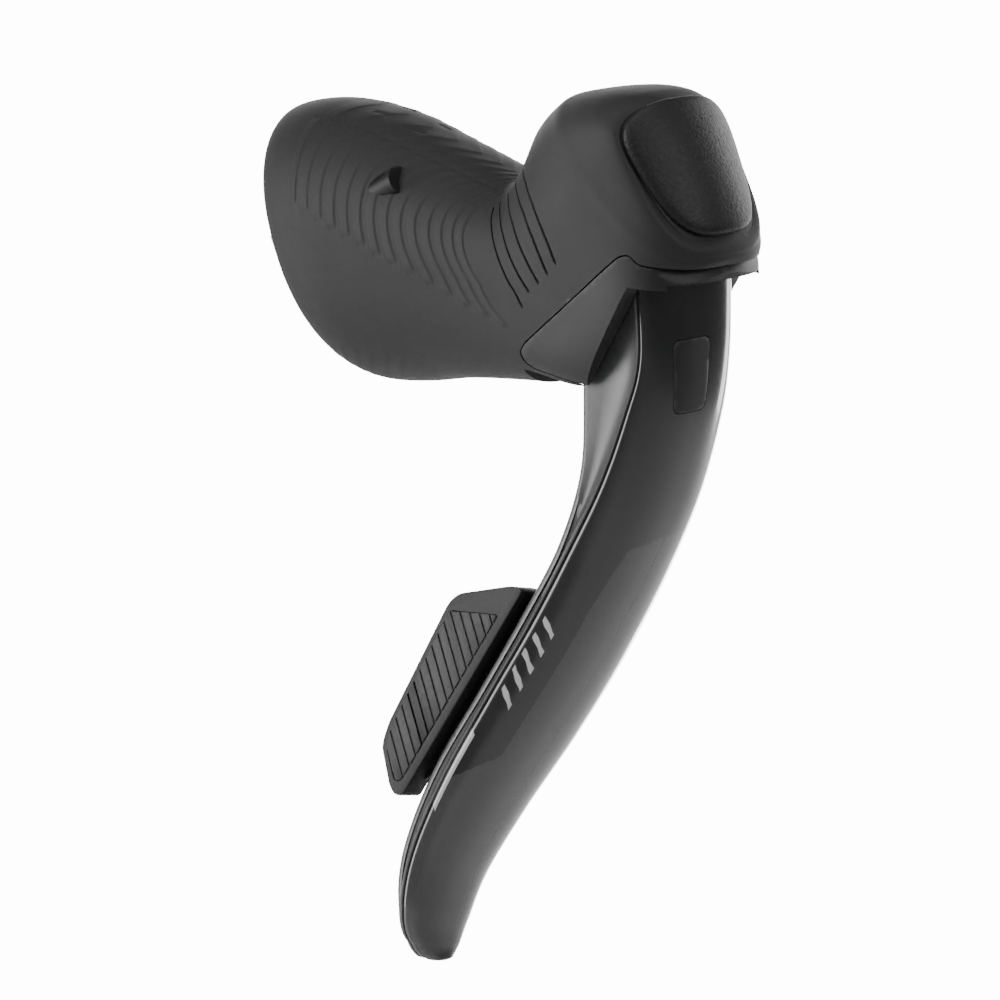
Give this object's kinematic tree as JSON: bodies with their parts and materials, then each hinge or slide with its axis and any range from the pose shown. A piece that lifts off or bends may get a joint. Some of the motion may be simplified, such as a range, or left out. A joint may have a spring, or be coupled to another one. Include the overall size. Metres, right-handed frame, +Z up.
{
  "type": "brake shift lever",
  "caption": "Right-hand drop-bar brake and shift lever: rubber hood with a tall horn, curved glossy brake blade and a ribbed shift paddle behind it.",
  "frame": {"origin": "middle of the handlebar clamp, on the handlebar's axis", "axes": "+X forward along the hood, +Y towards the bicycle's middle, +Z up; the handlebar's axis leans 28 degrees back from +Z in the XZ plane"},
  "size_m": [0.1188, 0.0481, 0.1717],
  "materials": {
    "hood_rubber": "matte moulded rubber with fine grain and raised grip bars",
    "pad_rubber": "leather-grained rubber",
    "body_plastic": "satin fibre-filled plastic",
    "gloss_carbon": "clear-coated black carbon",
    "frame_grey": "satin dark grey paint",
    "paddle_plastic": "satin moulded plastic",
    "grip_rubber": "matte grey moulded rubber",
    "steel": "bright steel",
    "dark_steel": "black oxide steel",
    "aluminium": "machined aluminium",
    "brass": "plain brass",
    "seal_rubber": "black seal rubber",
    "board_green": "green solder mask",
    "lens_clear": "milky clear lens",
    "nylon": "natural nylon"
  },
  "bodies": {
    "lever": {"lever_body": "body_plastic", "hood_cover": "hood_rubber", "horn_pad": "pad_rubber", "reservoir_cap": "body_plastic", "reservoir_bladder": "seal_rubber", "cap_screw_upper": "steel", "cap_screw_lower": "steel", "bleed_screw": "aluminium", "clamp_band": "steel", "clamp_bolt": "dark_steel", "clamp_washer": "steel", "clamp_nut": "dark_steel", "clamp_anchor_screw": "dark_steel", "hose_nut": "dark_steel", "hose_olive": "brass", "piston_spring": "steel", "piston_stop_ring": "steel", "circuit_board": "board_green", "coin_cell": "steel", "battery_contact": "steel", "battery_hatch": "body_plastic", "hatch_gasket": "seal_rubber", "hatch_screw_upper": "steel", "hatch_screw_lower": "steel", "status_lens": "lens_clear", "pivot_pin": "steel", "pin_lock_screw": "dark_steel", "blade_return_spring": "steel", "lead_connector": "nylon"},
    "blade": {"blade_shell": "gloss_carbon", "blade_frame": "frame_grey", "reach_cover": "body_plastic", "pivot_bush_inboard": "brass", "pivot_bush_outboard": "brass", "paddle_pin": "steel", "paddle_spring": "steel", "paddle_switch": "seal_rubber", "switch_lead": "seal_rubber"},
    "reach_adjuster": {"reach_screw": "dark_steel"},
    "pushrod": {"pushrod": "steel", "pushrod_trunnion": "dark_steel"},
    "piston": {"master_piston": "aluminium", "piston_seal_front": "seal_rubber", "piston_seal_rear": "seal_rubber"},
    "paddle": {"shift_paddle": "paddle_plastic", "paddle_grip": "grip_rubber"},
    "plunger": {"switch_plunger": "nylon"},
    "horn_button": {"horn_button": "grip_rubber"},
    "function_button": {"function_button": "grip_rubber"}
  },
  "joints": [
    {"name": "blade_swing", "type": "hinge", "parent": "lever", "child": "blade", "pos_m": [0.084, 0, 0.006], "axis": [0, 1, 0], "range_deg": [0, 20], "stiffness_Nm_per_rad": 0.6, "springref_deg": -20.05, "deforming": ["blade_return_spring", "switch_lead"]},
    {"name": "pushrod_swing", "type": "hinge", "parent": "blade", "child": "pushrod", "pos_m": [0.082, 0, -0.009], "axis": [0, 1, 0], "range_deg": [-27, 1]},
    {"name": "piston_slide", "type": "slide", "parent": "lever", "child": "piston", "axis": [-1, 0, 0], "range_m": [0, 0.0053], "deforming": ["piston_spring"]},
    {"name": "paddle_press", "type": "hinge", "parent": "blade", "child": "paddle", "pos_m": [0.06642, -0.00693, -0.07784], "axis": [-0.4641, -0.2003, -0.8628], "range_deg": [0, 8], "stiffness_Nm_per_rad": 0.15, "springref_deg": -11.46},
    {"name": "plunger_press", "type": "slide", "parent": "blade", "child": "plunger", "axis": [-0.8858, 0.105, 0.4521], "range_m": [-0.0007, 0]},
    {"name": "horn_button_press", "type": "slide", "parent": "lever", "child": "horn_button", "axis": [0, -1, 0], "range_m": [0, 0.001], "stiffness_N_per_m": 800, "springref_m": -0.001},
    {"name": "function_button_press", "type": "slide", "parent": "lever", "child": "function_button", "axis": [0, -1, 0], "range_m": [0, 0.0004], "stiffness_N_per_m": 800, "springref_m": -0.001},
    {"name": "reach_turn", "type": "hinge", "parent": "blade", "child": "reach_adjuster", "pos_m": [0.095, -0.002, -0.0155], "axis": [-1, 0, 0], "range_deg": [-180, 180]}
  ],
  "couplings": [
    {"joint": "pushrod_swing", "follows": "blade_swing", "ratio": -1.285},
    {"joint": "piston_slide", "follows": "blade_swing", "m_per_rad": 0.01435},
    {"joint": "plunger_press", "follows": "paddle_press", "m_per_rad": -0.0049}
  ]
}
